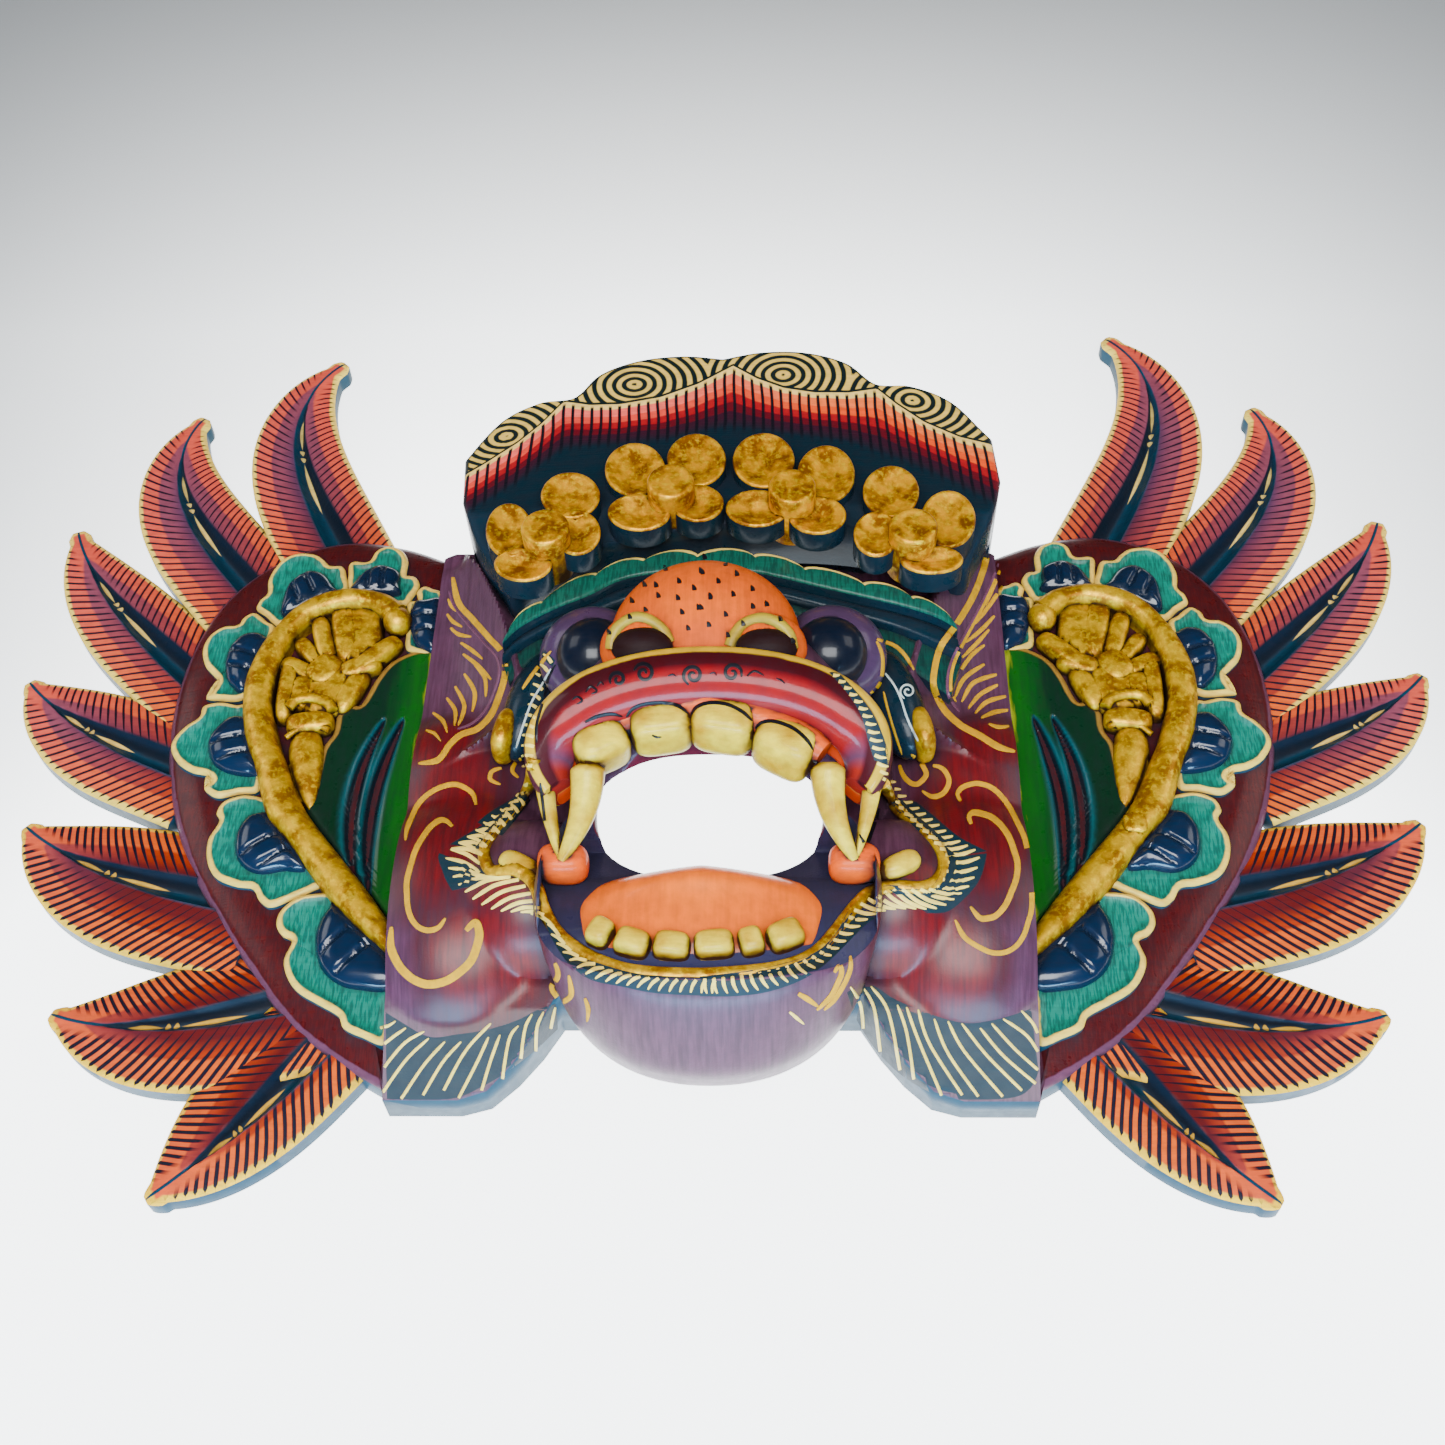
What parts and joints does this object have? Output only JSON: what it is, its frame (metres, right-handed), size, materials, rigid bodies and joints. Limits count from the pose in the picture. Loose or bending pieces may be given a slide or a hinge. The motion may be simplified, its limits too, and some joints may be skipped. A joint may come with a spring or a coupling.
{
  "type": "barong mask",
  "caption": "Carved wooden barong mask with a flowered crown, bulging eyes, an open fanged mouth and a feathered wing at each side.",
  "frame": {"origin": "centre of the box of the whole mask, on the plane of its flat back", "axes": "+X across the mask from left wing to right wing as seen in front of it, +Y from chin to crown, +Z out of the face"},
  "size_m": [0.503, 0.368, 0.0928],
  "materials": {
    "face": "painted and lacquered",
    "left_wing": "painted and lacquered",
    "right_wing": "painted and lacquered"
  },
  "bodies": {
    "root": {"face": "face", "left_wing": "left_wing", "right_wing": "right_wing"}
  },
  "joints": []
}
